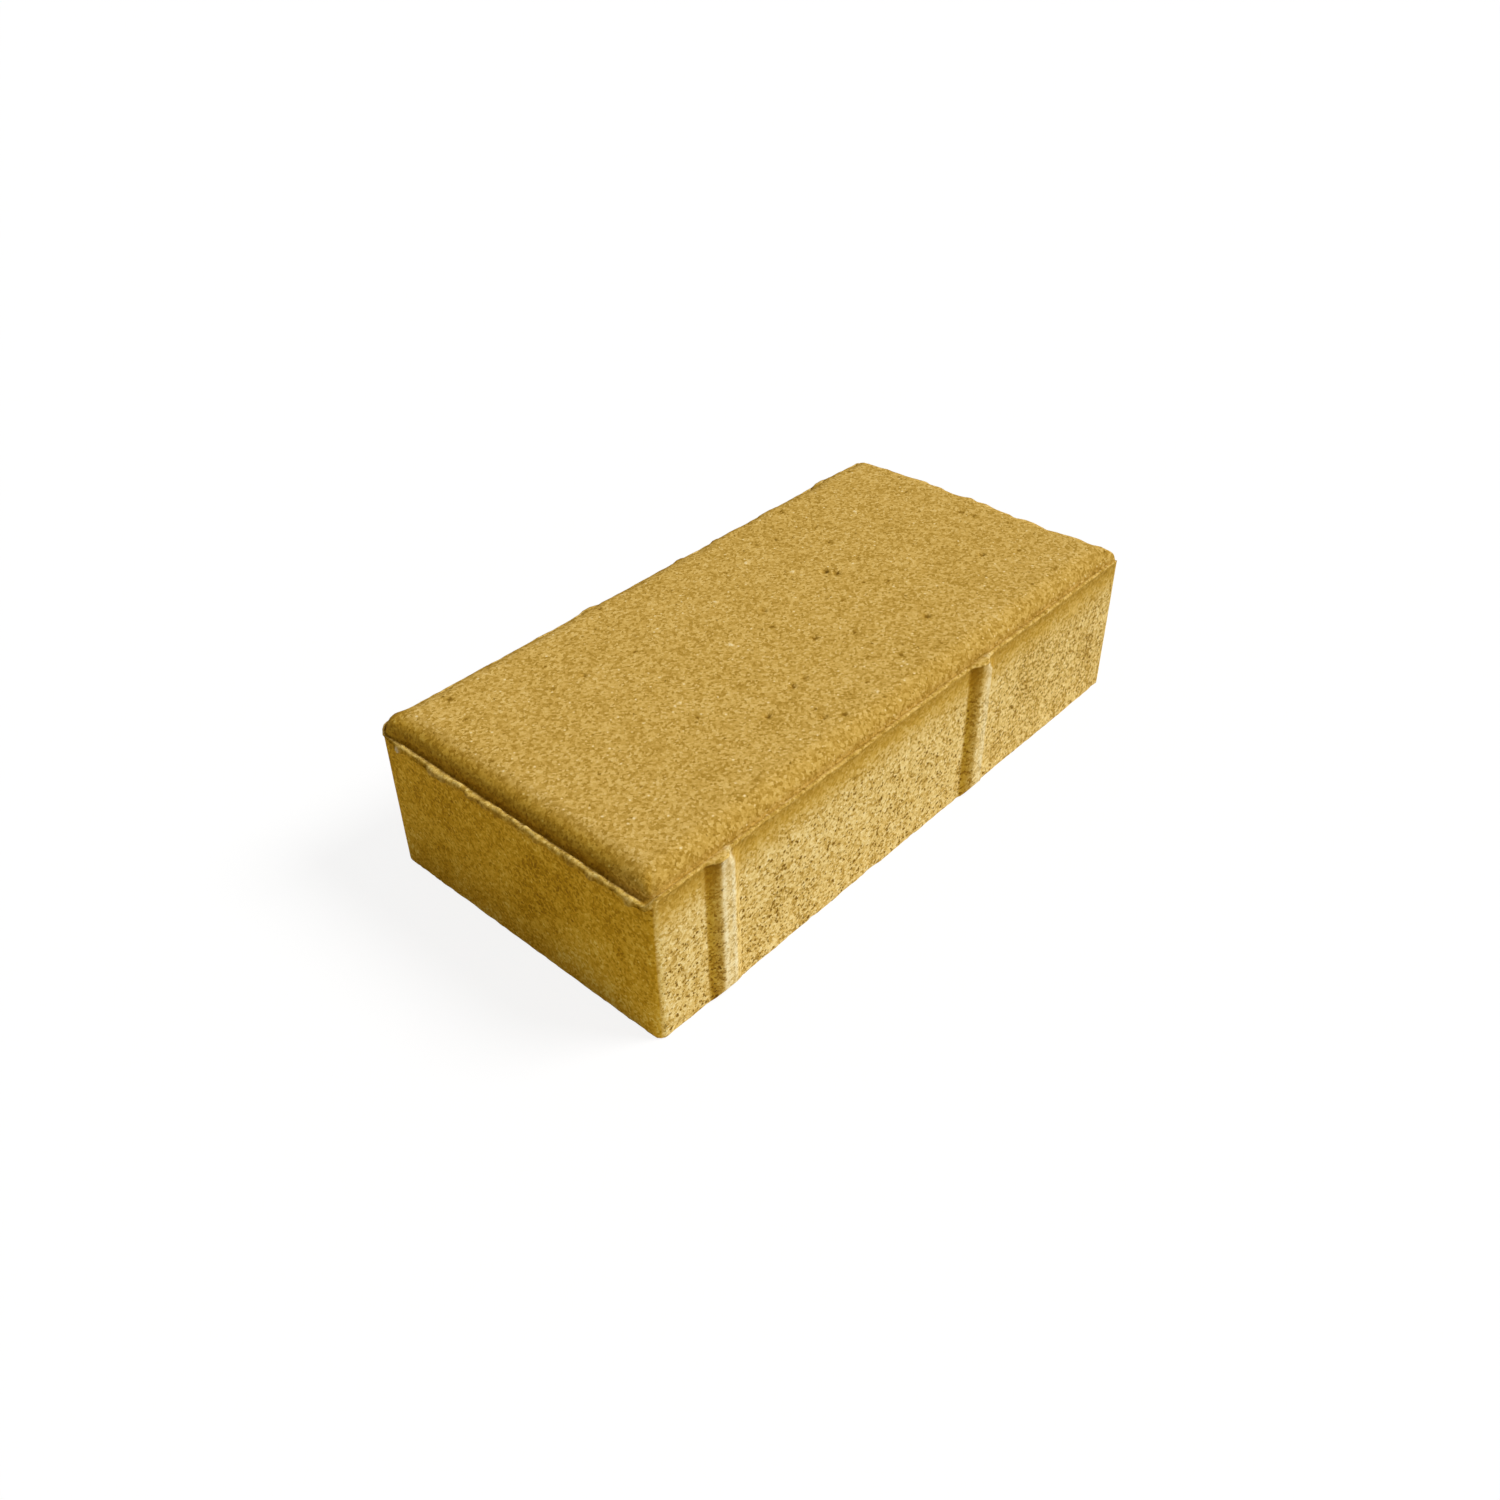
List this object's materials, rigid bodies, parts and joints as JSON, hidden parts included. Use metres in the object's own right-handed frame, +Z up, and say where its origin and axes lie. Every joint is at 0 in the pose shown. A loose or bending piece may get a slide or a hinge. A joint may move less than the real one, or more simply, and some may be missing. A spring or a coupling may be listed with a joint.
{
  "type": "concrete paving stone",
  "caption": "Rectangular concrete block paver with a rounded top edge on a narrow moulded lip and upright spacer nibs on its long sides, for laying paths and yards.",
  "frame": {"origin": "centre of the bedding face, on the ground", "axes": "+X along the long sides, +Y along the short sides, +Z up towards the walking face"},
  "size_m": [0.2006, 0.1046, 0.05],
  "materials": {
    "concrete": "sandy, coloured through with ochre pigment, unsealed"
  },
  "bodies": {
    "root": {"paving_stone": "concrete"}
  },
  "joints": []
}
